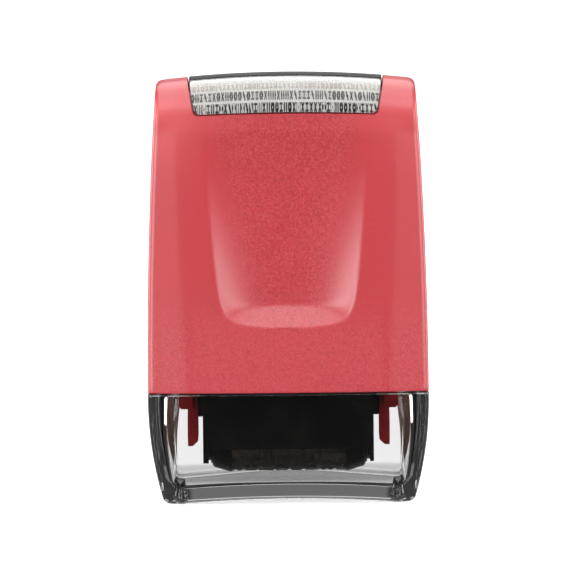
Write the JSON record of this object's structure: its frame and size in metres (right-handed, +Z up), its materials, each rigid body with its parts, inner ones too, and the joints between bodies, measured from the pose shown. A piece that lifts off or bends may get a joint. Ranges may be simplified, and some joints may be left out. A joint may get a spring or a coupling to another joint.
{
  "type": "privacy roller stamp",
  "caption": "Self-inking privacy roller stamp: a wedge-shaped housing with thumb recesses over a replaceable ink cartridge, with a clear pull-off cap.",
  "frame": {"origin": "centre of the footprint, on the surface that the cap's two feet stand on", "axes": "+Z up from the cap to the window; -Y is the front, +X is to the right seen from the front"},
  "size_m": [0.0432, 0.028, 0.066],
  "materials": {
    "red_plastic": "satin moulded red plastic with a fine spark grain",
    "clear_plastic": "polished clear plastic",
    "silver_label": "silver film label with a printed masking pattern",
    "black_plastic": "satin black moulded plastic",
    "white_plastic": "natural white bearing plastic",
    "steel": "drawn steel pin",
    "inked_rubber": "black moulded rubber wet with ink",
    "ink_foam": "ink-soaked open-cell foam",
    "smoked_plastic": "polished, slightly smoked clear plastic"
  },
  "bodies": {
    "housing": {"front_shell": "red_plastic", "rear_shell": "red_plastic", "top_window": "clear_plastic", "pattern_label": "silver_label", "cartridge_holder": "red_plastic"},
    "cartridge": {"cartridge_case": "black_plastic", "cartridge_lid": "black_plastic", "filler_plug": "black_plastic", "left_cheek": "black_plastic", "right_cheek": "black_plastic", "stamp_left_bush": "white_plastic", "stamp_right_bush": "white_plastic", "ink_left_bush": "white_plastic", "ink_right_bush": "white_plastic"},
    "stamp_roller": {"stamp_axle": "steel", "stamp_core": "white_plastic", "stamp_sleeve": "inked_rubber", "stamp_left_hub": "black_plastic", "stamp_right_hub": "black_plastic"},
    "ink_roller": {"ink_axle": "steel", "ink_core": "white_plastic", "ink_foam": "ink_foam"},
    "cap": {"cap": "smoked_plastic"}
  },
  "joints": [
    {"name": "cartridge_slide", "type": "slide", "parent": "housing", "child": "cartridge", "axis": [0, 0, -1], "range_m": [0, 0.032]},
    {"name": "cap_slide", "type": "slide", "parent": "cartridge", "child": "cap", "axis": [0, 0, -1], "range_m": [0, 0.02]},
    {"name": "stamp_spin", "type": "hinge", "parent": "cartridge", "child": "stamp_roller", "pos_m": [0, 0, 0.01325], "axis": [1, 0, 0], "continuous": true},
    {"name": "ink_spin", "type": "hinge", "parent": "cartridge", "child": "ink_roller", "pos_m": [0, 0, 0.02895], "axis": [1, 0, 0], "continuous": true}
  ],
  "couplings": [
    {"joint": "ink_spin", "follows": "stamp_spin", "ratio": -1.5667}
  ]
}
